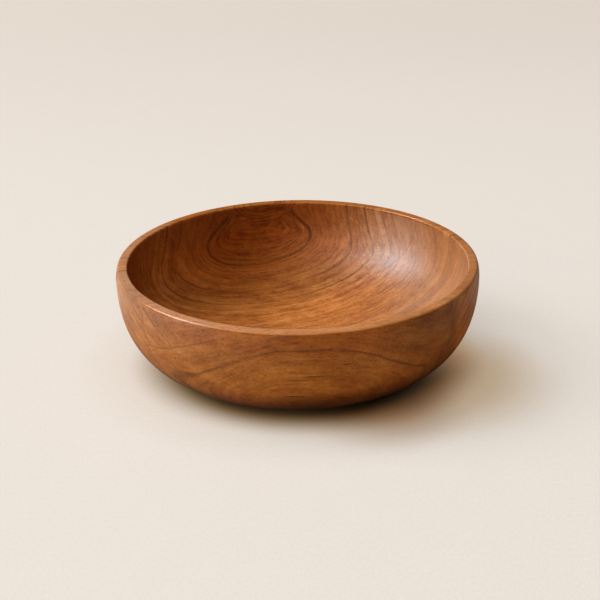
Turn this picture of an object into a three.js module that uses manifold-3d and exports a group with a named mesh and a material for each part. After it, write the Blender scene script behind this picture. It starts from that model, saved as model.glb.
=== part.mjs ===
// A low wooden serving bowl, turned from a blank of boards that are glued edge to edge.
// Millimetres, +Z up. The origin is the middle of the flat base, and the fibres of every board run along X.
import * as THREE from 'three';
import { mergeVertices } from 'three/addons/utils/BufferGeometryUtils.js';
import Module from 'manifold-3d';

// Outside of the bowl
const HEIGHT = 79;
const RIM_RADIUS = 127;
const BELLY_BULGE = 1;
const BELLY_DROP = 9;
const FOOT_RADIUS = 70;
const FLARE_ANGLE = THREE.MathUtils.degToRad(21);
const FLARE_REACH = 19;
const OUTER_FULLNESS = 0.857;

// Hollow of the bowl
const RIM_WIDTH = 7.2;
const FLOOR_THICKNESS = 11;
const HOLLOW_FLOOR_FULLNESS = 0.64;
const HOLLOW_WALL_FULLNESS = 0.68;

// Eased edges of the rim
const RIM_OUTER_ROUND = 1.8;
const RIM_INNER_ROUND = 1;

// Blank: equal boards, with a film of glue in each joint
const TURNING_ALLOWANCE = 2;
const GLUE_THICKNESS = 0.2;
const BOND_CLEARANCE = 0.05;

// Fineness of the round surfaces
const TURNS = 72;
const WALL_STEPS = 12;
const LIP_STEPS = 3;

// Boards from front to back, each with the tone that it shows
const BOARDS = [
  { name: 'front_board', color: 0x8e5325 },
  { name: 'front_middle_board', color: 0x95592b },
  { name: 'centre_board', color: 0xa56a38 },
  { name: 'back_middle_board', color: 0x9a5d2e },
  { name: 'back_board', color: 0x8f5528 },
];
const GLUE_LINES = ['front_glue_line', 'front_middle_glue_line', 'back_middle_glue_line', 'back_glue_line'];
const GLUE_COLOR = 0x5a3216;
const WOOD_ROUGHNESS = 0.42;
const GLUE_ROUGHNESS = 0.6;

const wasm = await Module();
wasm.setup();

// Points of the turned section, from the axis under the base, out and over the rim, to the axis of the floor.
function sectionPoints() {
  const bellyRadius = RIM_RADIUS + BELLY_BULGE;
  const bellyHeight = HEIGHT - BELLY_DROP;
  const hollowRadius = RIM_RADIUS - RIM_WIDTH;
  const hollowDepth = HEIGHT - FLOOR_THICKNESS;
  const outerRound = Math.min(RIM_OUTER_ROUND, RIM_WIDTH / 2);
  const innerRound = Math.min(RIM_INNER_ROUND, RIM_WIDTH / 2);
  const rimLean = Math.atan2(2 * BELLY_BULGE, BELLY_DROP);
  const foot = new THREE.Vector2(FOOT_RADIUS, 0);
  const flare = new THREE.Vector2(Math.cos(FLARE_ANGLE), Math.sin(FLARE_ANGLE)).multiplyScalar(FLARE_REACH);
  const belly = new THREE.Vector2(bellyRadius, bellyHeight);

  const wall = new THREE.CubicBezierCurve(
    foot,
    foot.clone().add(flare),
    new THREE.Vector2(bellyRadius, bellyHeight * (1 - OUTER_FULLNESS)),
    belly,
  );
  const outerLip = new THREE.EllipseCurve(
    RIM_RADIUS - outerRound, HEIGHT - outerRound, outerRound, outerRound, rimLean, Math.PI / 2);
  const shoulder = new THREE.QuadraticBezierCurve(
    belly,
    new THREE.Vector2(bellyRadius, bellyHeight + BELLY_DROP / 2),
    outerLip.getPoint(0),
  );
  const innerLip = new THREE.EllipseCurve(
    hollowRadius + innerRound, HEIGHT - innerRound, innerRound, innerRound, Math.PI / 2, Math.PI);
  const hollow = new THREE.CubicBezierCurve(
    innerLip.getPoint(1),
    new THREE.Vector2(hollowRadius, HEIGHT - hollowDepth * HOLLOW_WALL_FULLNESS),
    new THREE.Vector2(hollowRadius * HOLLOW_FLOOR_FULLNESS, FLOOR_THICKNESS),
    new THREE.Vector2(0, FLOOR_THICKNESS),
  );

  return [
    new THREE.Vector2(0, 0),
    ...wall.getPoints(WALL_STEPS),
    ...shoulder.getPoints(LIP_STEPS).slice(1),
    ...outerLip.getPoints(LIP_STEPS).slice(1),
    ...innerLip.getPoints(LIP_STEPS),
    ...hollow.getPoints(WALL_STEPS).slice(1),
  ];
}

// A closed solid from a geometry, with shared corners merged and flat slivers on the axis left out.
function solidOf(geometry) {
  geometry.deleteAttribute('normal');
  geometry.deleteAttribute('uv');
  const merged = mergeVertices(geometry);
  const corners = merged.index.array;
  const triVerts = [];
  for (let i = 0; i < corners.length; i += 3) {
    const [a, b, c] = corners.slice(i, i + 3);
    if (a !== b && b !== c && c !== a) triVerts.push(a, b, c);
  }
  return new wasm.Manifold(new wasm.Mesh({
    numProp: 3,
    vertProperties: new Float32Array(merged.attributes.position.array),
    triVerts: new Uint32Array(triVerts),
  }));
}

// A named mesh from a solid.
function pieceOf(solid, name, color, roughness) {
  const { vertProperties, triVerts } = solid.getMesh();
  const geometry = new THREE.BufferGeometry();
  geometry.setAttribute('position', new THREE.BufferAttribute(vertProperties, 3));
  geometry.setIndex(new THREE.BufferAttribute(triVerts, 1));
  geometry.computeVertexNormals();
  const piece = new THREE.Mesh(geometry, new THREE.MeshStandardMaterial({ color, roughness, metalness: 0 }));
  piece.name = name;
  return piece;
}

// The part of the turned bowl between two planes across Y.
function sliceOf(turned, from, to) {
  const reach = 2 * (RIM_RADIUS + BELLY_BULGE + TURNING_ALLOWANCE);
  const slab = new THREE.BoxGeometry(reach, to - from, 4 * HEIGHT);
  slab.translate(0, (from + to) / 2, 0);
  return turned.intersect(solidOf(slab));
}

function makeBowl() {
  const turned = solidOf(new THREE.LatheGeometry(sectionPoints(), TURNS).rotateX(Math.PI / 2));
  const blankHalf = RIM_RADIUS + BELLY_BULGE + TURNING_ALLOWANCE;
  const boardWidth = (2 * blankHalf) / BOARDS.length;
  const glueHalf = GLUE_THICKNESS / 2;
  const jointHalf = glueHalf + BOND_CLEARANCE;
  const jointAt = (index) => -blankHalf + boardWidth * index;
  const bowl = new THREE.Group();

  BOARDS.forEach(({ name, color }, index) => {
    const board = sliceOf(turned, jointAt(index) + jointHalf, jointAt(index + 1) - jointHalf);
    bowl.add(pieceOf(board, name, color, WOOD_ROUGHNESS));
  });
  GLUE_LINES.forEach((name, index) => {
    const middle = jointAt(index + 1);
    const film = sliceOf(turned, middle - glueHalf, middle + glueHalf);
    bowl.add(pieceOf(film, name, GLUE_COLOR, GLUE_ROUGHNESS));
  });
  return bowl;
}

export default makeBowl();
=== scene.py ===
"""A low wooden serving bowl, turned from boards glued edge to edge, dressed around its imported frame."""

from math import atan2, cos, pi, radians, sin

import bmesh
import bpy
from mathutils import Matrix, Vector


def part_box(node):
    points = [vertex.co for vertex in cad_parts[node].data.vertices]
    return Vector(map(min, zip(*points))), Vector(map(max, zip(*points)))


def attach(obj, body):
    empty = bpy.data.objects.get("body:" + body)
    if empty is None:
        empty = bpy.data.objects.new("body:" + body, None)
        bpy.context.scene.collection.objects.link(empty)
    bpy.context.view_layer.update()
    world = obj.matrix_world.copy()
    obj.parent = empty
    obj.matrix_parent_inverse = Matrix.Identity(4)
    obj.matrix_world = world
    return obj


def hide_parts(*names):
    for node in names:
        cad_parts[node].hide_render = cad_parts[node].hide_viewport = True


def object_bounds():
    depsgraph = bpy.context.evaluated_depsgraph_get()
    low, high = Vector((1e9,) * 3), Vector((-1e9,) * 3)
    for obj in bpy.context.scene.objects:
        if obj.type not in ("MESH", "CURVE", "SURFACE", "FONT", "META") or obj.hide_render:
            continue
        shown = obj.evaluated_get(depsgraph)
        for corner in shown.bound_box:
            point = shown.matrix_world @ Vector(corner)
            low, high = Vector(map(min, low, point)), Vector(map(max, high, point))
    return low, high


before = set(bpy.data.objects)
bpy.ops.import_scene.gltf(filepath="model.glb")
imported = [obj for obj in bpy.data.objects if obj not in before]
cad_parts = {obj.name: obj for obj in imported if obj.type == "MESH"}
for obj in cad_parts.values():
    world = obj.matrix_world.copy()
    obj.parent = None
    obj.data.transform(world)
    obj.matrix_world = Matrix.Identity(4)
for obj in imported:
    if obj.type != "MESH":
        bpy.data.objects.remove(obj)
cad_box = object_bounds()

MM = 0.001
RISE = (0.0, 1.0)
FALL = (1.0, 0.0)

# The turned section in millimetres, as in the solids
HEIGHT = 79
RIM_RADIUS = 127
BELLY_BULGE = 1
BELLY_DROP = 9
FOOT_RADIUS = 70
FLARE_ANGLE = radians(21)
FLARE_REACH = 19
OUTER_FULLNESS = 0.857
RIM_WIDTH = 7.2
FLOOR_THICKNESS = 11
HOLLOW_FLOOR_FULLNESS = 0.64
HOLLOW_WALL_FULLNESS = 0.68
RIM_OUTER_ROUND = 1.8
RIM_INNER_ROUND = 1

# Fineness of the turned surface
TURNS = 300
WALL_STEPS = 60
LIP_STEPS = 9
BASE_STEPS = 8
SHARP_ANGLE = radians(18)
CUT_TOLERANCE = 1e-7

# Camera of the photograph, in millimetres and degrees
CAMERA_PLACE = (1.4, -823.5, 404.8)
CAMERA_DOWN = 23.52
CAMERA_ROLL = -0.64
LENS = 75
SENSOR = 36

# Growth rings that stand out, as places in the field of rings, strengths and widths, and how they are drawn
FRONT_RINGS = [
    (81, 0.25, 1), (91, 0.3, 1), (100, 0.12, 1), (108, 0.85, 0.8), (116, 0.25, 1), (123.7, 1.0, 0.8),
    (129, 0.4, 0.8), (137, 0.25, 1),
]
SIDE_RINGS = [
    (70, 0.3, 1), (82, 0.4, 1), (93, 0.4, 1), (103, 0.6, 1), (109, 0.3, 1), (115, 0.6, 1), (120, 0.4, 1),
    (125, 0.6, 1), (132, 1.0, 1),
]
FOLD_RINGS = [
    (3.5, 0.4, 0.7), (6.5, 0.5, 0.7), (10, 0.5, 0.7), (13.5, 0.7, 0.8), (22.3, 0.25, 1.4), (25, 0.85, 0.6),
    (29, 0.25, 0.5), (34, 0.25, 0.6), (39, 0.35, 0.8), (46, 0.7, 0.9), (53, 0.3, 1), (60, 0.95, 1),
    (67, 0.45, 1), (73, 0.35, 1), (80, 0.4, 1), (86, 0.35, 0.8), (91, 0.45, 0.8), (94.5, 0.3, 0.5),
    (98, 0.5, 0.8), (102, 0.3, 0.5), (106, 0.55, 0.7), (109.5, 0.35, 0.5), (113, 0.6, 0.8),
    (117, 0.35, 0.5), (120, 0.5, 0.6), (123, 0.3, 0.5), (126, 0.75, 0.8), (130, 0.35, 0.5),
    (133, 0.5, 0.6), (137, 0.35, 0.5), (141, 0.55, 0.7), (145, 0.35, 0.5), (149, 0.5, 0.7),
    (153, 0.35, 0.5), (158, 0.5, 0.7), (163, 0.4, 0.6), (168, 0.4, 0.7),
]
RING_SPAN = 200
RINGS_PER_RAMP = 7
RING_START = 1.6
RING_FULL = 0.3
RING_END = 0.5
RING_COLOR = (0.075, 0.019, 0.004, 1.0)

# Dark dashes on the front wall, as places x and z, half lengths and half heights
FLECKS = [(11, 48.6, 13, 1.1), (0, 45.6, 12, 0.9), (-2, 31.6, 11, 0.9), (30, 56, 7, 0.9)]
FLECK_EDGE = (0.2, 1.0)
FLECK_STRENGTH = (0.9, 0.0)

# Boards from front to back: the field that the rings follow, the rings that stand out and their strength,
# the weights of the four layers of grain, the broad and the fine waver of the rings, the seed of the chance
# grain, and the tone of the board and of its rim
FOLD = {"field": "fold", "rings": FOLD_RINGS, "ink": 1.0, "grain": (0.20, 0.22, 0.28, 0.28),
        "waver": (3.0, 1.4), "seed": 23.9}
BOARDS = {
    "front_board": {"field": "front", "rings": FRONT_RINGS, "ink": 0.75, "grain": (0.10, 0.16, 0.22, 0.34),
                    "waver": (3.0, 1.2), "seed": 3.1, "tone": 1.08, "rim": (1.08, 1.08, 1.08)},
    "front_middle_board": {"field": "side", "rings": SIDE_RINGS, "ink": 0.5,
                           "grain": (0.16, 0.26, 0.22, 0.26), "waver": (4.0, 1.5), "seed": 11.7,
                           "tone": 0.99, "rim": (0.93, 0.93, 0.93)},
    "centre_board": {**FOLD, "tone": 1.02, "rim": (1.05, 1.05, 1.05)},
    "back_middle_board": {**FOLD, "tone": 0.98, "rim": (1.0, 0.92, 0.8)},
    "back_board": {**FOLD, "tone": 0.93, "rim": (0.95, 0.72, 0.4)},
}
GLUE_LINES = ["front_glue_line", "front_middle_glue_line", "back_middle_glue_line", "back_glue_line"]

# Pith lines (y, z) of the two front boards, how the rings of the front one waver and sag along it, and where
# the rings of the next board meet them on the left
FRONT_PITH = (-175, -29)
SIDE_PITH = (-6, -24)
WAVER = [
    (-130, -30), (-105, -6), (-90, 6), (-75, 9), (-55, 9), (-40, 6.5), (-28, 4), (-13, 0.5), (0, 0),
    (36, 0.8), (49, 2.8), (62, 4.9), (85, 0), (105, -12), (130, -30),
]
SAG = (-9, 0)
SAG_ALONG = (-90, -62)
SAG_BELOW = (40, 56)
MEETING_SLOPE = (169.5, 170.5)
MEETING_ALONG = (-20, -10)
MEETING_FIELD = (124.2, 125.2)

# The folded rings of the back: their depth, how far they turn about the bowl's axis from foot to rim, and how
# far they lean back with height, less near their middle and far from it
FOLD_DEPTH = 126
FOLD_ACROSS = 0.953
FOLD_TURN = (0.33, 0.25)
FOLD_TURN_HEIGHT = (25, 70)
FOLD_LEAN = [
    (0, 0), (28, 0), (38, 1.5), (45, 4), (50, 8), (55, 12.5), (60, 17), (66, 21), (72, 24), (79, 26),
]
LEAN_MIDDLE = (0.38, 0.58)
LEAN_MIDDLE_HEIGHT = (50, 72)
LEAN_MIDDLE_EDGE = (16, 46)
LEAN_FAR = (1.0, 0.3)
LEAN_FAR_EDGE = (71, 131)

# A knot at (x, z) in the back wall, and the dark heart round it: its edge, the run of its streaks, the change
# of its grain, its tone from the middle out, and how deep that tone is from left to right, deeper on the left
# as painted shade, and on the rim
KNOT = (-30, 84)
KNOT_FLATNESS = 0.8
KNOT_SPREAD = 21
HEART_EDGE = (18, 36)
HEART_BEND = 0.004
HEART_RISE = -0.9
HEART_GRAIN = (0.0, 0.30, 0.14, -0.17)
HEART_TONE = [
    (0, 0.64), (16, 0.61), (24, 0.66), (32, 0.74), (40, 0.83), (50, 0.89), (62, 0.97), (75, 1.0), (200, 1.0),
]
HEART_POWERS = (1.65, 2.8)
HEART_SHADE_ALONG = (-70, 0)
HEART_AND_SHADE_DEPTH = (-1.28, -0.78)
HEART_RIM_FADE = 0.8

# Grain: sizes in millimetres along the fibres, across them and up
SEED_STEP = 37.0
WAVE_SIZE = (70, 35, 35)
RIPPLE_SIZE = (16, 8, 8)
BAND_SIZE = 9.0
LONG_STREAK_SIZE = (30, 1.7, 15)
STREAK_SIZE = (7.5, 2.4, 6.5)
STREAK_SLANT = 0.6
MOTTLE_SIZE = (30, 16, 16)
ROUGH_GRAIN = 0.68
SMOOTH_GRAIN = 0.6
GRAIN_MIDDLE = 0.5
GRAIN_COLORS = [
    (0.34, (0.200, 0.053, 0.008, 1.0)),
    (0.44, (0.380, 0.116, 0.020, 1.0)),
    (0.53, (0.550, 0.196, 0.041, 1.0)),
    (0.68, (0.730, 0.325, 0.090, 1.0)),
]

# Where the rings that stand out fade: by chance, at the back to the right, near the floor and under the
# heart, and in front high on the wall, except at the left
FADE_SIZE = (40, 25, 25)
FADE_SPAN = (0.32, 0.56)
FADE_LEAST = (0.3, 1.0)
BACK_FADE_ALONG = (10, 60)
BACK_FADE_RIGHT = (1.0, 0.9)
BACK_FADE_HEIGHT = (14, 30)
BACK_FADE_LOW = (0.4, 1.0)
CALM_LEFT = (-55, -35)
CALM_RIGHT = (-15, 5)
CALM_BELOW = (36, 46)
CALM = -0.6
FRONT_FADE = 0.6
FRONT_CALM_ALONG = (-62, -36)
FRONT_CALM_FIELD = (116, 119)
FRONT_CALM = -0.85

# Open pores, short dashes along the fibres, in the front boards and in the folded ones
FRONT_PORES = {"size": (2.8, 0.75, 0.75), "angle": 0.0, "least": 0.56, "ink": 0.42}
FOLD_PORES = {"size": (4.0, 0.85, 0.85), "angle": radians(-17), "least": 0.60, "ink": 0.5}
PORE_FULL = 0.72
PORE_COLOR = (0.075, 0.020, 0.005, 1.0)

# Where the inside is: how deep under the outer wall, how high above the base and how far below the rim
HOLLOW_STEPS = 12
HOLLOW_SKIN = (-4.5, -3)
HOLLOW_BOTTOM = (8, 10)
HOLLOW_TOP = (HEIGHT - 3, HEIGHT - 1.5)

# The rim, worn paler
WORN_EDGE = (HEIGHT - 1.6, HEIGHT - 0.4)
RIM_TONE = (0.74, 0.32, 0.13)
RIM_SHARE = 0.42

# Painted light and shade on the outside: with height (dark foot, paler mid-height, darker under the rim),
# at the foot along X (lighter on the left), and lighter at the right end of the folded boards
OUTSIDE_PAINTED_SHADE = [(0, 0.40), (14, 0.40), (30, 1.0), (43, 1.37), (60, 1.08), (79, 0.87)]
OUTSIDE_SHADE_POWERS = (1.2, 1.7)
FOOT_HEIGHT = (27, 38)
FOOT_LEFT = (-45, 5)
FOOT_LEFT_PAINTED_LIGHT = (1.5, 0.78)
FOOT_RIGHT = (45, 85)
FOOT_RIGHT_PAINTED_LIGHT = (1.0, 1.3)
RIGHT_END = (98, 118)
RIGHT_END_PAINTED_LIGHT = (1.0, 1.35)

# Painted light and shade on the front boards: along X outside, their share of blue there, inside, and a
# painted warm shade on the strip under the rim
FRONT_LIGHT_AND_SHADE = [
    (-130, 1.08), (-112, 1.03), (-85, 0.86), (60, 0.84), (95, 0.78), (104, 0.94), (116, 1.75), (130, 1.75),
]
FRONT_PAINTED_BLUE = [(-130, 1.07), (-60, 0.90), (0, 0.77), (60, 0.96), (95, 0.97), (130, 0.73)]
FRONT_INSIDE_PAINTED_LIGHT = 1.25
LIP_LEFT = (-95, -60)
LIP_RIGHT = (45, 75)
LIP_HEIGHT = (56, 71)
LIP_SHADE_TINT = (1.0, 0.84, 0.62, 1.0)

# Painted light and shade on the folded boards inside: painted light on the floor, painted shade on the sides
# and a painted sheen at the right end
INSIDE_LIGHT_FIELD = (50, 82)
INSIDE_LIGHT_SHARE = (0.0, 0.4)
INSIDE_LIGHT_RIGHT = (20, 100)
INSIDE_LIGHT_LEFT = (-90, -20)
INSIDE_LIGHT_LEFT_SHARE = (1.4, 1.0)
INSIDE_LIGHT_HEIGHT = (26, 46)
INSIDE_LIGHT_POWERS = (1.0, 1.2)
SIDE_RIGHT = (55, 95)
SIDE_RIGHT_SHADE = (1.0, 0.86)
SIDE_LEFT = (-110, -50)
SIDE_LEFT_SHADE = (0.9, 1.0)
SHEEN_END_ALONG = (50, 125)
SHEEN_END_SHARE = (0.0, 0.36)
SHEEN_END_COLOR = (0.70, 0.345, 0.145, 1.0)

# Painted light and shade on the folded boards inside: with height, along X at middle height, and their
# share of blue by the rim, raised on the right as painted sheen and lowered on the left and middle as painted
# shade
INSIDE_SHADE_RISE = [(0, 1.0), (11, 1.0), (46, 1.08), (60, 0.98), (79, 0.86)]
MIDDLE_BOTTOM = (32, 40)
MIDDLE_TOP = (50, 58)
MIDDLE_LIGHT_AND_SHADE = [
    (-125, 1.05), (-70, 1.12), (-42, 0.90), (15, 1.12), (45, 1.07), (82, 0.82), (106, 0.98), (125, 1.0),
]
BLUE_HEIGHT = (40, 54)
INSIDE_SHEEN_BLUE = [
    (-125, 0.97), (-90, 0.62), (-45, 0.52), (8, 0.52), (45, 1.15), (82, 2.3), (106, 1.0), (125, 0.9),
]
BLUE_POWERS = (0.1, 0.32)

# The finish: its share of polish along X, inside the bowl and in front, how pores, streaks and the bare top
# of the rim change it, and the roughness and relief of the wood
INSIDE_POLISH = [(-130, 0.1), (-20, 0.1), (10, 0.4), (35, 0.8), (60, 1.0), (130, 1.0)]
FRONT_POLISH = [(-130, 1.0), (-60, 0.8), (40, 0.4), (100, 0.35), (118, 0.8), (130, 1.0)]
PORE_POLISH = -0.7
STREAK_SPAN = (0.3, 0.7)
STREAK_POLISH = (0.7, 1.0)
BARE_HEIGHT = (HEIGHT - 0.5, HEIGHT - 0.1)
BARE_ACROSS = (20, 80)
BARE_SHARE = (0.62, 1.0)
SHINE = 0.3
COAT_IOR = 1.77
COAT_EDGE = (HEIGHT - 2.4, HEIGHT - 1.6)
COAT_ROUGHNESS = (0.42, 0.24)
ROUGHNESS = 0.36
STREAK_ROUGHNESS = 0.12
PORE_ROUGHNESS = 0.2
STREAK_RELIEF = 0.5
RELIEF_STRENGTH = 0.3
RELIEF_DEPTH = 0.0002

# The glue: the scale and the colours of its mottle, and its roughness
GLUE_SCALE = (400, 400, 400)
GLUE_COLORS = [(0.3, (0.10, 0.034, 0.010, 1.0)), (0.7, (0.20, 0.075, 0.022, 1.0))]
GLUE_ROUGHNESS = 0.4
GLUE_MOTTLE_ROUGHNESS = 0.2

# The floor, in metres: its mottle, its colour in light and its painted warm shade by the bowl, and its glow
# here and far behind
FLOOR_SIZE = 4.0
FIBRE_SCALE = (700, 330, 330)
FIBRE_SPAN = (0.2, 0.8)
FIBRE_LIGHT = (0.965, 1.015)
MOTTLE_SCALE = (40, 25, 25)
MOTTLE_LIGHT = 0.02
FLOOR_LIT = (0.308, 0.284, 0.258, 1.0)
FLOOR_NEAR_SHADE = (0.30, 0.235, 0.12, 1.0)
FLOOR_NEAR_SHADE_LIFT = (0.0, 0.5)
FLOOR_GLOW = (0.583, 0.537, 0.489, 1.0)
FLOOR_BACK = (0.545, 0.48, 0.425, 1.0)
FLOOR_BACK_REACH = (0.15, 1.3)

# Painted shadow round the bowl: how the floor's glow grows with distance from the bowl, warm at first
LIFT_CENTRE = (0.006, -0.001, 0.0)
LIFT_OVAL = (1.0, 1.128, 0.0)
LIFT_REACH = (0.091, 0.134)
LIFT_TAIL_REACH = (0.125, 0.180)
LIFT_TAIL = 0.1
LIFT_POWERS = (1.27, 1.63)

# Painted shadows on the floor in front and on the right of the bowl, each as a centre, a reach and a tint,
# and a painted faint light under the belly on the right
FLOOR_PAINTED_SHADOWS = [
    ((0.058, -0.079, 0.0), (0.009, 0.065), (0.58, 0.45, 0.33, 1.0)),
    ((0.100, -0.032, 0.0), (0.028, 0.098), (0.76, 0.645, 0.50, 1.0)),
]
PAINTED_FILL_COLOR = (0.855, 0.57, 0.36, 1.0)
FILL_NORTH = (-0.045, 0.060)
FILL_SHARE = (0.035, 0.5)
FILL_NORTH_END = (0.012, 0.045)
FILL_EAST = (0.02, 0.06)
FILL_INNER = (0.084, 0.104)
FILL_OUTER = (0.10, 0.14)

# What the bowl gets from the floor: dim soft light, and brighter reflections of the floor away from the bowl
FLOOR_DIM = (0.46, 0.26, 0.09, 1.0)
FLOOR_SHINE = (0.62, 0.52, 0.41, 1.0)
SHINE_REACH = (0.13, 0.28)
SHINE_LEAST = (0.2, 1.0)
SHINE_NORTH = (0.02, 0.1)
SHINE_EAST = (-0.3, 0.1)
SHINE_SHARE = (1.95, 0.8)

# Softboxes: azimuth 0 is to the left of the bowl and 90 behind it, sizes are in metres, a share of 1 is full
# light on the floor, and only the mirrored ones show in reflections
LAMP_DISTANCE = 6.0
LAMPS = {
    "key": {"azimuth": 2, "elevation": 38.5, "size": (2.8, 2.8), "share": 0.40,
            "color": (0.96, 1.0, 1.06), "mirrored": True},
    "low": {"azimuth": -20, "elevation": 13, "size": (2.6, 1.8), "share": 0.020,
            "color": (1.0, 1.0, 1.0), "mirrored": True},
    "top": {"azimuth": 0, "elevation": 70, "size": (5.0, 5.0), "share": 0.17,
            "color": (1.0, 0.93, 0.84), "mirrored": False},
    "front": {"azimuth": -70, "elevation": 40, "size": (5.0, 5.0), "share": 0.27,
              "color": (1.0, 0.93, 0.84), "mirrored": False},
    "back": {"azimuth": 72, "elevation": 22, "size": (3.5, 3.5), "share": 0.04,
             "color": (1.0, 0.95, 0.9), "mirrored": True},
}

# The surroundings: the light that they give, and what the camera sees of them
WORLD_COLOR = (1.0, 0.90, 0.80, 1.0)
WORLD_STRENGTH = 0.04
WORLD_SEEN = (0.79, 0.71, 0.63, 1.0)


# The turned surface

def curve(controls, steps):
    """Points along a Bezier curve of two, three or four controls."""
    points = []
    for step in range(steps + 1):
        t = step / steps
        row = [Vector(c) for c in controls]
        while len(row) > 1:
            row = [a.lerp(b, t) for a, b in zip(row, row[1:])]
        points.append(row[0])
    return points


def arc(centre, radius, start, end, steps):
    """Points along a circle's arc, both ends included."""
    angles = [start + (end - start) * step / steps for step in range(steps + 1)]
    return [Vector((centre[0] + radius * cos(a), centre[1] + radius * sin(a))) for a in angles]


def outer_wall(steps):
    """(radius, height) points of the outside, from the foot up to the belly."""
    belly_radius = RIM_RADIUS + BELLY_BULGE
    belly_height = HEIGHT - BELLY_DROP
    flare = (FOOT_RADIUS + FLARE_REACH * cos(FLARE_ANGLE), FLARE_REACH * sin(FLARE_ANGLE))
    return curve([(FOOT_RADIUS, 0), flare, (belly_radius, belly_height * (1 - OUTER_FULLNESS)),
                  (belly_radius, belly_height)], steps)


def section():
    """(radius, height) points from the axis under the base, over the rim, to the axis of the floor."""
    hollow_radius = RIM_RADIUS - RIM_WIDTH
    hollow_depth = HEIGHT - FLOOR_THICKNESS
    lean = atan2(2 * BELLY_BULGE, BELLY_DROP)
    base = curve([(0, 0), (FOOT_RADIUS, 0)], BASE_STEPS)
    wall = outer_wall(WALL_STEPS)
    belly = wall[-1]
    outer_lip = arc((RIM_RADIUS - RIM_OUTER_ROUND, HEIGHT - RIM_OUTER_ROUND), RIM_OUTER_ROUND,
                    lean, pi / 2, LIP_STEPS)
    shoulder = curve([belly, belly + Vector((0, BELLY_DROP / 2)), outer_lip[0]], LIP_STEPS)
    inner_lip = arc((hollow_radius + RIM_INNER_ROUND, HEIGHT - RIM_INNER_ROUND), RIM_INNER_ROUND,
                    pi / 2, pi, LIP_STEPS)
    hollow = curve([inner_lip[-1], (hollow_radius, HEIGHT - hollow_depth * HOLLOW_WALL_FULLNESS),
                    (hollow_radius * HOLLOW_FLOOR_FULLNESS, FLOOR_THICKNESS), (0, FLOOR_THICKNESS)],
                   WALL_STEPS)
    return base + wall[1:] + shoulder[1:] + outer_lip[1:] + inner_lip + hollow[1:]


def turned_bowl():
    """The whole bowl as one closed mesh, before it is parted into boards."""
    points = [point * MM for point in section()]
    angles = [2 * pi * turn / TURNS for turn in range(TURNS)]
    bowl = bmesh.new()
    rows = []
    for radius, height in points[1:-1]:
        rows.append([bowl.verts.new((radius * cos(a), radius * sin(a), height)) for a in angles])
    under = bowl.verts.new((0, 0, points[0].y))
    floor = bowl.verts.new((0, 0, points[-1].y))
    for turn in range(TURNS):
        after = (turn + 1) % TURNS
        bowl.faces.new((under, rows[0][after], rows[0][turn]))
        bowl.faces.new((floor, rows[-1][turn], rows[-1][after]))
        for low, high in zip(rows, rows[1:]):
            bowl.faces.new((low[turn], low[after], high[after], high[turn]))
    return bowl


def slice_of(bowl, name, front, back):
    """The part of the bowl between two planes across Y, closed where it was cut."""
    part = bowl.copy()
    for place, side in ((front, -1), (back, 1)):
        everything = part.verts[:] + part.edges[:] + part.faces[:]
        bmesh.ops.bisect_plane(part, geom=everything, dist=CUT_TOLERANCE, plane_co=(0, place, 0),
                               plane_no=(0, side, 0), clear_outer=True)
        open_edges = [edge for edge in part.edges if edge.is_boundary]
        bmesh.ops.holes_fill(part, edges=open_edges, sides=0)
    for face in part.faces:
        face.smooth = True
    mesh = bpy.data.meshes.new(name)
    part.to_mesh(mesh)
    part.free()
    mesh.set_sharp_from_angle(angle=SHARP_ANGLE)
    piece = bpy.data.objects.new(name, mesh)
    bpy.context.scene.collection.objects.link(piece)
    return piece


# Materials

def grey(value):
    return (value, value, value, 1.0)


def ring_stops(rings):
    """Colour stops that draw each ring with a soft inner side and a sharper outer side."""
    stops = [(0.0, grey(0.0))]
    for radius, strength, width in rings:
        stops.append(((radius - RING_START * width) / RING_SPAN, grey(0.0)))
        stops.append(((radius - RING_FULL * width) / RING_SPAN, grey(strength)))
        stops.append((radius / RING_SPAN, grey(strength)))
        stops.append(((radius + RING_END * width) / RING_SPAN, grey(0.0)))
    return stops


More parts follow.
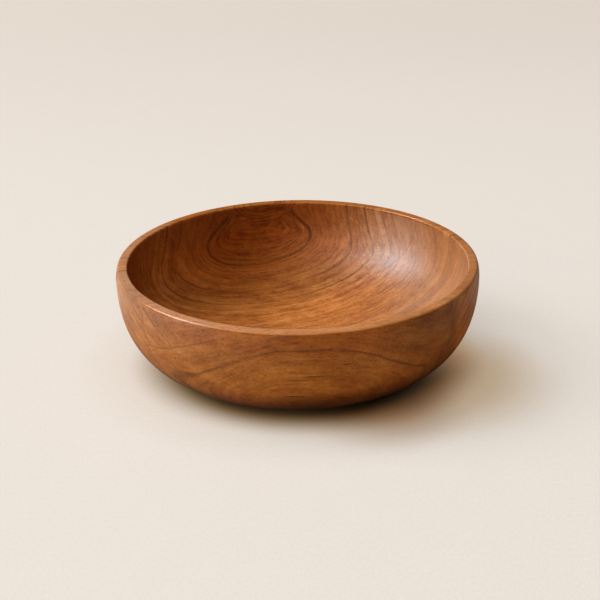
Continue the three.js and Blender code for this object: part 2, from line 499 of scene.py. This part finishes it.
class Graph:
    """Shader nodes of one material: most methods add nodes and give their output."""

    def __init__(self, name):
        self.material = bpy.data.materials.new(name)
        self.material.use_nodes = True
        self.tree = self.material.node_tree
        self.shader = self.tree.nodes["Principled BSDF"]

    def node(self, kind, inputs, **settings):
        made = self.tree.nodes.new(kind)
        for key, value in settings.items():
            setattr(made, key, value)
        for key, value in inputs.items():
            self.put(made.inputs[key], value)
        return made

    def put(self, socket, value):
        if isinstance(value, bpy.types.NodeSocket):
            self.tree.links.new(value, socket)
        else:
            socket.default_value = value

    def set_input(self, name, value):
        self.put(self.shader.inputs[name], value)

    def object_place(self):
        return self.node("ShaderNodeTexCoord", {}).outputs["Object"]

    def axes(self, vector):
        return self.node("ShaderNodeSeparateXYZ", {0: vector}).outputs

    def math(self, operation, *values):
        return self.node("ShaderNodeMath", dict(enumerate(values)), operation=operation).outputs[0]

    def times(self, product, *others):
        for other in others:
            product = self.math("MULTIPLY", product, other)
        return product

    def vector(self, operation, *values):
        made = self.node("ShaderNodeVectorMath", dict(enumerate(values)), operation=operation)
        return made.outputs["Value" if operation == "LENGTH" else "Vector"]

    def combine(self, x, y, z):
        return self.node("ShaderNodeCombineXYZ", {0: x, 1: y, 2: z}).outputs[0]

    def noise(self, vector, detail, roughness=0.5):
        made = self.node("ShaderNodeTexNoise", {"Vector": vector, "Scale": 1.0, "Detail": detail,
                                                "Roughness": roughness})
        return made.outputs["Fac"]

    def line_noise(self, value, detail):
        made = self.node("ShaderNodeTexNoise", {"W": value, "Scale": 1.0, "Detail": detail},
                         noise_dimensions="1D")
        return made.outputs["Fac"]

    def spread(self, value, span, ends=RISE):
        """A smooth step over a span of the value, from one end to the other."""
        made = self.node("ShaderNodeMapRange", {"Value": value, "From Min": span[0], "From Max": span[1],
                                                "To Min": ends[0], "To Max": ends[1]},
                         interpolation_type="SMOOTHSTEP")
        return made.outputs["Result"]

    def window(self, value, start, end):
        """1 between two spans of the value, and 0 outside them."""
        return self.times(self.spread(value, start), self.spread(value, end, FALL))

    def profile(self, value, points):
        """A smooth curve through points (input, output)."""
        low, high = points[0][0], points[-1][0]
        least = min(out for _, out in points)
        most = max(out for _, out in points)
        share = self.node("ShaderNodeMapRange", {"Value": value, "From Min": low, "From Max": high})
        made = self.node("ShaderNodeFloatCurve", {"Value": share.outputs["Result"]})
        line = made.mapping.curves[0]
        while len(line.points) < len(points):
            line.points.new(1.0, 1.0)
        for knot, (place, out) in zip(line.points, points):
            knot.location = ((place - low) / (high - low), (out - least) / (most - least))
        made.mapping.update()
        height = self.node("ShaderNodeClamp", {"Value": made.outputs[0]}).outputs[0]
        return self.math("MULTIPLY_ADD", height, most - least, least)

    def blend(self, share, first, second):
        made = self.node("ShaderNodeMix", {"Factor": share}, data_type="FLOAT")
        self.put(made.inputs["A"], first)
        self.put(made.inputs["B"], second)
        return made.outputs["Result"]

    def ramp(self, value, stops):
        made = self.node("ShaderNodeValToRGB", {"Fac": value})
        elements = made.color_ramp.elements
        while len(elements) < len(stops):
            elements.new(1.0)
        for element, (place, color) in zip(elements, stops):
            element.position = place
            element.color = color
        return made.outputs["Color"]

    def mix(self, share, first, second, blend="MIX"):
        made = self.node("ShaderNodeMix", {"Factor": share}, data_type="RGBA", blend_type=blend)
        self.put(made.inputs["A"], first)
        self.put(made.inputs["B"], second)
        return next(socket for socket in made.outputs if socket.type == "RGBA")

    def tint(self, color, factor):
        return self.mix(1.0, color, factor, "MULTIPLY")

    def powers(self, value, green, blue):
        """A tint whose red is the value, and whose green and blue are powers of it."""
        return self.combine(value, self.math("POWER", value, green), self.math("POWER", value, blue))


class Wood(Graph):
    """Oiled wood of one board: growth rings, fibres along X, open pores, satin finish. In millimetres."""

    def __init__(self, name, board):
        super().__init__(name)
        self.board = board
        self.folded = board["field"] == "fold"
        place = self.vector("MULTIPLY", self.object_place(), (1 / MM, 1 / MM, 1 / MM))
        self.x, self.y, self.z = self.axes(place)
        self.own = self.vector("ADD", place, (SEED_STEP * board["seed"], 0.0, 0.0))
        self.field = self.ring_field()
        self.lines, self.weights = self.grain_lines()
        self.along = self.combine(self.x, self.lines, self.math("MULTIPLY_ADD", self.y, STREAK_SLANT, self.z))
        self.streak = self.noise(self.vector("DIVIDE", self.along, STREAK_SIZE), 4.0, ROUGH_GRAIN)
        self.pore_kind = FOLD_PORES if self.folded else FRONT_PORES
        self.pores = self.pore_dashes()
        self.inside = self.hollow_share()
        self.worn = self.spread(self.z, WORN_EDGE)
        self.not_outside = self.math("MAXIMUM", self.inside, self.worn)

    def grains(self, size, detail, roughness=0.5):
        return self.noise(self.vector("DIVIDE", self.own, size), detail, roughness)

    def round_field(self, pith):
        """Distance from a pith line along X."""
        across = self.math("SUBTRACT", self.y, pith[0])
        up = self.math("SUBTRACT", self.z, pith[1])
        return self.vector("LENGTH", self.combine(0.0, across, up))

    def front_field(self):
        """Rings round a pith in front of the bowl, met on the left by the rings of the next board."""
        sag = self.times(self.spread(self.x, SAG_ALONG, SAG), self.spread(self.z, SAG_BELOW, FALL))
        waver = self.math("ADD", self.profile(self.x, WAVER), sag)
        field = self.math("ADD", self.round_field(FRONT_PITH), waver)
        slope = self.math("SUBTRACT", self.z, self.y)
        met = self.times(self.spread(slope, MEETING_SLOPE, FALL), self.spread(self.x, MEETING_ALONG, FALL),
                         self.spread(field, MEETING_FIELD))
        return self.blend(met, field, self.round_field(SIDE_PITH))

    def fold_field(self):
        """Rings that fold round the back of the bowl, and run round a knot in its wall."""
        turn = self.spread(self.z, FOLD_TURN_HEIGHT, FOLD_TURN)
        ahead = self.math("MULTIPLY_ADD", self.y, -FOLD_ACROSS, FOLD_DEPTH)
        ahead = self.math("MULTIPLY_ADD", self.x, turn, ahead)
        middle = self.spread(self.z, LEAN_MIDDLE_HEIGHT, LEAN_MIDDLE)
        far = self.spread(ahead, LEAN_FAR_EDGE, LEAN_FAR)
        share = self.blend(self.spread(ahead, LEAN_MIDDLE_EDGE), middle, far)
        field = self.math("MULTIPLY_ADD", self.profile(self.z, FOLD_LEAN), share, ahead)
        across = self.times(self.math("SUBTRACT", self.x, KNOT[0]), KNOT_FLATNESS)
        up = self.math("SUBTRACT", self.z, KNOT[1])
        knot = self.vector("LENGTH", self.combine(across, 0.0, up))
        return self.math("MINIMUM", field, self.math("DIVIDE", self.times(knot, knot), KNOT_SPREAD))

    def ring_field(self):
        """The field that the growth rings follow, with its broad and its fine waver."""
        if self.folded:
            field = self.fold_field()
        elif self.board["field"] == "front":
            field = self.front_field()
        else:
            field = self.round_field(SIDE_PITH)
        drifts = (self.grains(WAVE_SIZE, 1.0), self.grains(RIPPLE_SIZE, 2.0))
        for drift, reach in zip(drifts, self.board["waver"]):
            field = self.math("MULTIPLY_ADD", self.math("SUBTRACT", drift, GRAIN_MIDDLE), reach, field)
        return field

    def grain_lines(self):
        """The lines that bands and streaks follow, and the layers' weights, both changed in the heart."""
        if not self.folded:
            return self.field, self.board["grain"]
        heart = self.spread(self.field, HEART_EDGE, FALL)
        side = self.math("SUBTRACT", self.x, KNOT[0])
        bend = self.math("MULTIPLY_ADD", self.times(side, side), HEART_BEND, self.times(self.z, HEART_RISE))
        weights = [self.math("MULTIPLY_ADD", heart, change, weight)
                   for weight, change in zip(self.board["grain"], HEART_GRAIN)]
        return self.blend(heart, self.field, bend), weights

    def pore_dashes(self):
        fibres = self.node("ShaderNodeVectorRotate", {"Vector": self.own, "Angle": self.pore_kind["angle"]},
                           rotation_type="Z_AXIS").outputs[0]
        dashes = self.noise(self.vector("DIVIDE", fibres, self.pore_kind["size"]), 1.0)
        return self.spread(dashes, (self.pore_kind["least"], PORE_FULL))

    def hollow_share(self):
        """1 on the inside of the bowl and 0 on its outside and base."""
        radius = self.vector("LENGTH", self.combine(self.x, self.y, 0.0))
        outer = self.profile(self.z, [(point.y, point.x) for point in outer_wall(HOLLOW_STEPS)])
        deep = self.spread(self.math("SUBTRACT", radius, outer), HOLLOW_SKIN, FALL)
        return self.times(deep, self.window(self.z, HOLLOW_BOTTOM, HOLLOW_TOP))

    def grain(self):
        """Colour of the bands, the long and the short streaks, and the mottle."""
        layers = [
            self.line_noise(self.math("DIVIDE", self.lines, BAND_SIZE), 2.0),
            self.noise(self.vector("DIVIDE", self.along, LONG_STREAK_SIZE), 2.0, SMOOTH_GRAIN),
            self.streak,
            self.grains(MOTTLE_SIZE, 3.0, ROUGH_GRAIN),
        ]
        sum_of_layers = GRAIN_MIDDLE
        for layer, weight in zip(layers, self.weights):
            change = self.math("SUBTRACT", layer, GRAIN_MIDDLE)
            sum_of_layers = self.math("MULTIPLY_ADD", change, weight, sum_of_layers)
        return self.ramp(sum_of_layers, GRAIN_COLORS)

    def worn_rim(self, color):
        tone = tuple(a * b for a, b in zip(RIM_TONE, self.board["rim"])) + (1.0,)
        return self.mix(self.times(self.worn, RIM_SHARE), color, tone)

    def ring_fade(self):
        """How far the rings that stand out show."""
        fade = self.spread(self.grains(FADE_SIZE, 2.0), FADE_SPAN, FADE_LEAST)
        calm = 0.0
        if self.folded:
            fade = self.times(fade, self.spread(self.x, BACK_FADE_ALONG, BACK_FADE_RIGHT),
                              self.spread(self.z, BACK_FADE_HEIGHT, BACK_FADE_LOW))
            calm = self.times(self.window(self.x, CALM_LEFT, CALM_RIGHT),
                              self.spread(self.z, CALM_BELOW, FALL), CALM)
        elif self.board["field"] == "front":
            fade = self.math("MULTIPLY_ADD", fade, FRONT_FADE, 1 - FRONT_FADE)
            calm = self.times(self.spread(self.x, FRONT_CALM_ALONG),
                              self.spread(self.field, FRONT_CALM_FIELD), FRONT_CALM)
        return self.times(fade, self.math("ADD", calm, 1.0))

    def fleck(self, x, z, length, height):
        across = self.math("DIVIDE", self.math("SUBTRACT", self.x, x), length)
        up = self.math("DIVIDE", self.math("SUBTRACT", self.z, z), height)
        distance = self.vector("LENGTH", self.combine(across, up, 0.0))
        return self.spread(distance, FLECK_EDGE, FLECK_STRENGTH)

    def ring_lines(self, color):
        """The rings that stand out, and the dashes of the front board."""
        reach = self.times(self.field, 1 / RING_SPAN)
        rings = self.board["rings"]
        marks = [self.ramp(reach, ring_stops(rings[first:first + RINGS_PER_RAMP]))
                 for first in range(0, len(rings), RINGS_PER_RAMP)]
        if self.board["field"] == "front":
            marks += [self.fleck(*fleck) for fleck in FLECKS]
        share = marks[0]
        for mark in marks[1:]:
            share = self.math("MAXIMUM", share, mark)
        return self.mix(self.times(share, self.ring_fade(), self.board["ink"]), color, RING_COLOR)

    def open_pores(self, color):
        return self.mix(self.times(self.pores, self.pore_kind["ink"]), color, PORE_COLOR)

    def heart_and_shade_tone(self, color):
        depth = self.math("SUBTRACT", 1.0, self.profile(self.field, HEART_TONE))
        # Dark heartwood round the knot, deepened to the left as painted shade
        heart = self.math("MULTIPLY_ADD", depth, self.spread(self.x, HEART_SHADE_ALONG, HEART_AND_SHADE_DEPTH), 1.0)
        heart = self.blend(self.times(self.worn, HEART_RIM_FADE), heart, 1.0)
        return self.tint(color, self.powers(heart, *HEART_POWERS))

    def inside_painted_light(self, color):
        """Painted light on the floor, painted shade on the sides, painted sheen at the right end, inside."""
        painted_light = self.times(self.inside, self.spread(self.field, INSIDE_LIGHT_FIELD, INSIDE_LIGHT_SHARE),
                          self.spread(self.x, INSIDE_LIGHT_RIGHT, FALL),
                          self.spread(self.x, INSIDE_LIGHT_LEFT, INSIDE_LIGHT_LEFT_SHARE),
                          self.spread(self.z, INSIDE_LIGHT_HEIGHT, FALL))
        color = self.tint(color, self.powers(self.math("ADD", painted_light, 1.0), *INSIDE_LIGHT_POWERS))
        sides = self.times(self.spread(self.x, SIDE_RIGHT, SIDE_RIGHT_SHADE),
                           self.spread(self.x, SIDE_LEFT, SIDE_LEFT_SHADE))
        color = self.tint(color, self.blend(self.inside, 1.0, sides))
        # Painted sheen at the right end inside
        end = self.times(self.inside, self.spread(self.x, SHEEN_END_ALONG, SHEEN_END_SHARE))
        return self.mix(end, color, SHEEN_END_COLOR)

    def inside_light_and_shade(self, color):
        """Painted light and shade inside, with height and along X, and the share of blue near the rim."""
        middle = self.blend(self.window(self.z, MIDDLE_BOTTOM, MIDDLE_TOP), 1.0,
                            self.profile(self.x, MIDDLE_LIGHT_AND_SHADE))
        tone = self.times(self.profile(self.z, INSIDE_SHADE_RISE), middle)
        color = self.tint(color, self.blend(self.inside, 1.0, tone))
        high = self.times(self.inside, self.spread(self.z, BLUE_HEIGHT))
        blue = self.blend(high, 1.0, self.profile(self.x, INSIDE_SHEEN_BLUE))
        red, green = [self.math("POWER", blue, power) for power in BLUE_POWERS]
        return self.tint(color, self.combine(red, green, blue))

    def front_light_and_shade(self, color):
        """Painted light and shade of the front boards along X, and painted warm shade under their rim."""
        tone = self.blend(self.inside, self.profile(self.x, FRONT_LIGHT_AND_SHADE), FRONT_INSIDE_PAINTED_LIGHT)
        tone = self.blend(self.worn, tone, 1.0)
        blue = self.blend(self.not_outside, self.profile(self.x, FRONT_PAINTED_BLUE), 1.0)
        color = self.tint(color, self.combine(tone, tone, self.times(tone, blue)))
        # Painted warm shade on the strip under the rim
        lip_shade = self.times(self.window(self.x, LIP_LEFT, LIP_RIGHT), self.spread(self.z, LIP_HEIGHT))
        lip_shade = self.blend(self.not_outside, lip_shade, 0.0)
        return self.mix(lip_shade, color, self.tint(color, LIP_SHADE_TINT))

    def outside_painted_light(self, color):
        """Painted light and shade outside: with height, along X at the foot, and at folded right ends."""
        foot = self.times(self.spread(self.x, FOOT_LEFT, FOOT_LEFT_PAINTED_LIGHT),
                          self.spread(self.x, FOOT_RIGHT, FOOT_RIGHT_PAINTED_LIGHT))
        foot = self.spread(self.z, FOOT_HEIGHT, (foot, 1.0))
        tone = self.times(self.profile(self.z, OUTSIDE_PAINTED_SHADE), foot)
        # Painted light at the right end of the folded boards
        if self.folded:
            tone = self.times(tone, self.spread(self.x, RIGHT_END, RIGHT_END_PAINTED_LIGHT))
        tone = self.blend(self.not_outside, tone, 1.0)
        return self.tint(color, self.powers(tone, *OUTSIDE_SHADE_POWERS))

    def set_color(self):
        color = self.open_pores(self.ring_lines(self.worn_rim(self.grain())))
        if self.folded:
            color = self.inside_light_and_shade(self.inside_painted_light(self.heart_and_shade_tone(color)))
        else:
            color = self.front_light_and_shade(color)
        self.set_input("Base Color", self.tint(self.outside_painted_light(color), grey(self.board["tone"])))

    def set_coat(self):
        """The polish, thinner over pores and streaks, and worn off the top of the rim."""
        polish = self.profile(self.x, INSIDE_POLISH if self.folded else FRONT_POLISH)
        bare = self.times(self.spread(self.z, BARE_HEIGHT), self.spread(self.y, BARE_ACROSS, BARE_SHARE))
        weight = self.times(polish, self.math("MULTIPLY_ADD", self.pores, PORE_POLISH, 1.0),
                            self.math("SUBTRACT", 1.0, bare),
                            self.spread(self.streak, STREAK_SPAN, STREAK_POLISH))
        self.set_input("Coat Weight", weight)
        self.set_input("Coat Roughness", self.spread(self.z, COAT_EDGE, COAT_ROUGHNESS))
        self.set_input("Coat IOR", COAT_IOR)
        self.set_input("Specular IOR Level", self.math("MULTIPLY_ADD", bare, -SHINE, SHINE))

    def set_relief(self):
        """The roughness and the fine relief of the wood under its polish."""
        rough = self.math("MULTIPLY_ADD", self.streak, STREAK_ROUGHNESS, ROUGHNESS)
        self.set_input("Roughness", self.math("MULTIPLY_ADD", self.pores, PORE_ROUGHNESS, rough))
        relief = self.math("SUBTRACT", self.times(self.streak, STREAK_RELIEF), self.pores)
        bump = self.node("ShaderNodeBump", {"Strength": RELIEF_STRENGTH, "Distance": RELIEF_DEPTH,
                                            "Height": relief})
        self.set_input("Normal", bump.outputs[0])


def wood(name, board):
    made = Wood(name, board)
    made.set_color()
    made.set_coat()
    made.set_relief()
    return made.material


def glue():
    """Cured glue, sanded flush with the wood."""
    made = Graph("glue")
    mottle = made.noise(made.vector("MULTIPLY", made.object_place(), GLUE_SCALE), 3.0)
    made.set_input("Base Color", made.ramp(mottle, GLUE_COLORS))
    made.set_input("Roughness", made.math("MULTIPLY_ADD", mottle, GLUE_MOTTLE_ROUGHNESS, GLUE_ROUGHNESS))
    return made.material


class Floor(Graph):
    """The plain pale floor, with the faint mottle of matt board. Seen directly, it is warmer and darker where
    the bowl shades it, about a third by its real shadow and the rest by painted shadows and a painted light;
    to the bowl itself it is a dimmer floor, so that little of it shines back."""

    def __init__(self):
        super().__init__("floor")
        self.place = self.object_place()
        self.east, self.north, _ = self.axes(self.place)
        self.middle = self.away((0.0, 0.0, 0.0))

    def away(self, centre, oval=(1.0, 1.0, 0.0)):
        """Distance along the floor from a centre."""
        offset = self.vector("SUBTRACT", self.place, centre)
        return self.vector("LENGTH", self.vector("MULTIPLY", offset, oval))

    def matt(self, color):
        return self.node("ShaderNodeBsdfDiffuse", {"Color": color}).outputs[0]

    def mottle(self):
        fibre = self.noise(self.vector("MULTIPLY", self.place, FIBRE_SCALE), 1.0)
        patches = self.noise(self.vector("MULTIPLY", self.place, MOTTLE_SCALE), 2.0)
        return self.math("MULTIPLY_ADD", patches, MOTTLE_LIGHT, self.spread(fibre, FIBRE_SPAN, FIBRE_LIGHT))

    def shade(self):
        # Painted shadows, each a tint that fades with distance from its centre
        shade = grey(1.0)
        for centre, reach, color in FLOOR_PAINTED_SHADOWS:
            shade = self.tint(shade, self.mix(self.spread(self.away(centre), reach), color, grey(1.0)))
        return shade

    def painted_fill(self):
        """A painted faint light on the floor under the belly on the right."""
        share = self.times(self.spread(self.north, FILL_NORTH, FILL_SHARE),
                           self.spread(self.north, FILL_NORTH_END, FALL), self.spread(self.east, FILL_EAST),
                           self.window(self.middle, FILL_INNER, FILL_OUTER))
        return self.tint(PAINTED_FILL_COLOR, share)

    def seen(self):
        """What the camera sees: a lit floor, and a glow that grows away from the bowl: a painted shadow."""
        shade, mottle = self.shade(), self.mottle()
        distance = self.away(LIFT_CENTRE, LIFT_OVAL)
        # The glow is a painted shadow round the bowl, warm near it, under the painted shadows, with a painted
        # light
        lift = self.math("ADD", self.spread(distance, LIFT_REACH, (0.0, 1 - LIFT_TAIL)),
                         self.spread(distance, LIFT_TAIL_REACH, (0.0, LIFT_TAIL)))
        glow = self.mix(self.spread(self.north, FLOOR_BACK_REACH), FLOOR_GLOW, FLOOR_BACK)
        glow = self.tint(self.tint(glow, self.powers(lift, *LIFT_POWERS)), shade)
        glow = self.mix(1.0, glow, self.painted_fill(), "ADD")
        glow = self.node("ShaderNodeEmission", {"Color": glow, "Strength": mottle}).outputs[0]
        # Painted warm shade on the lit floor near the bowl, which the painted shadows darken too
        ground = self.mix(self.spread(lift, FLOOR_NEAR_SHADE_LIFT), FLOOR_NEAR_SHADE, FLOOR_LIT)
        ground = self.matt(self.tint(self.tint(ground, shade), mottle))
        return self.node("ShaderNodeAddShader", {0: ground, 1: glow}).outputs[0]

    def felt(self, glossy):
        """What the bowl gets from the floor, in soft light and in reflections."""
        far = self.math("MAXIMUM", self.spread(self.middle, SHINE_REACH, SHINE_LEAST),
                        self.spread(self.north, SHINE_NORTH))
        far = self.times(far, self.spread(self.east, SHINE_EAST, SHINE_SHARE))
        shine = self.matt(self.tint(FLOOR_SHINE, far))
        return self.node("ShaderNodeMixShader", {0: glossy, 1: self.matt(FLOOR_DIM), 2: shine}).outputs[0]


def paper():
    made = Floor()
    rays = made.node("ShaderNodeLightPath", {}).outputs
    felt = made.felt(rays["Is Glossy Ray"])
    either = made.node("ShaderNodeMixShader", {0: rays["Is Camera Ray"], 1: felt, 2: made.seen()})
    made.put(made.tree.nodes["Material Output"].inputs["Surface"], either.outputs[0])
    made.tree.nodes.remove(made.shader)
    return made.material


# Pieces

def dress(piece, node, material):
    piece.data.materials.append(material)
    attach(piece, "root")
    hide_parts(node)


def make_pieces():
    bowl = turned_bowl()
    films = {node: (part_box(node)[0].y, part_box(node)[1].y) for node in GLUE_LINES}
    fronts = [cad_box[0][1] - MM] + [back for _, back in films.values()]
    backs = [front for front, _ in films.values()] + [cad_box[1][1] + MM]
    for (node, board), front, back in zip(BOARDS.items(), fronts, backs):
        dress(slice_of(bowl, node + "_turned", front, back), node, wood(node + "_wood", board))
    film = glue()
    for node, (front, back) in films.items():
        dress(slice_of(bowl, node + "_film", front, back), node, film)
    bowl.free()


# Stage, light and camera

def make_floor():
    mesh = bpy.data.meshes.new("floor")
    corners = [(-FLOOR_SIZE, -FLOOR_SIZE, 0), (FLOOR_SIZE, -FLOOR_SIZE, 0),
               (FLOOR_SIZE, FLOOR_SIZE, 0), (-FLOOR_SIZE, FLOOR_SIZE, 0)]
    mesh.from_pydata(corners, [], [(0, 1, 2, 3)])
    floor = bpy.data.objects.new("floor", mesh)
    bpy.context.scene.collection.objects.link(floor)
    mesh.materials.append(paper())


def make_lamp(name, azimuth, elevation, size, share, color, mirrored):
    """A softbox that aims at the bowl and gives the floor there its share of full light."""
    turn, rise = radians(azimuth), radians(elevation)
    way = Vector((-cos(turn) * cos(rise), sin(turn) * cos(rise), sin(rise)))
    data = bpy.data.lights.new(name, "AREA")
    data.shape = "RECTANGLE"
    data.size, data.size_y = size
    data.energy = share * (pi * LAMP_DISTANCE) ** 2 / sin(rise)
    data.color = color
    lamp = bpy.data.objects.new(name, data)
    lamp.location = way * LAMP_DISTANCE
    lamp.rotation_euler = (-way).to_track_quat("-Z", "Y").to_euler()
    lamp.visible_glossy = mirrored
    bpy.context.scene.collection.objects.link(lamp)


def make_world():
    """Dim warm surroundings, which look pale to the camera."""
    world = bpy.data.worlds.new("studio")
    world.use_nodes = True
    nodes, links = world.node_tree.nodes, world.node_tree.links
    light = nodes["Background"]
    light.inputs["Color"].default_value = WORLD_COLOR
    light.inputs["Strength"].default_value = WORLD_STRENGTH
    seen = nodes.new("ShaderNodeBackground")
    seen.inputs["Color"].default_value = WORLD_SEEN
    rays = nodes.new("ShaderNodeLightPath")
    either = nodes.new("ShaderNodeMixShader")
    links.new(rays.outputs["Is Camera Ray"], either.inputs[0])
    links.new(light.outputs[0], either.inputs[1])
    links.new(seen.outputs[0], either.inputs[2])
    links.new(either.outputs[0], nodes["World Output"].inputs["Surface"])
    bpy.context.scene.world = world


def make_light():
    for name, settings in LAMPS.items():
        make_lamp(name, **settings)
    make_world()


def make_camera():
    data = bpy.data.cameras.new("camera")
    data.lens = LENS
    data.sensor_width = SENSOR
    camera = bpy.data.objects.new("camera", data)
    tilt = Matrix.Rotation(radians(90 - CAMERA_DOWN), 4, "X")
    roll = Matrix.Rotation(radians(CAMERA_ROLL), 4, "Z")
    camera.matrix_world = Matrix.Translation(Vector(CAMERA_PLACE) * MM) @ tilt @ roll
    bpy.context.scene.collection.objects.link(camera)
    bpy.context.scene.camera = camera


make_camera()
make_pieces()
make_floor()
make_light()
bpy.context.scene.view_settings.view_transform = "Standard"
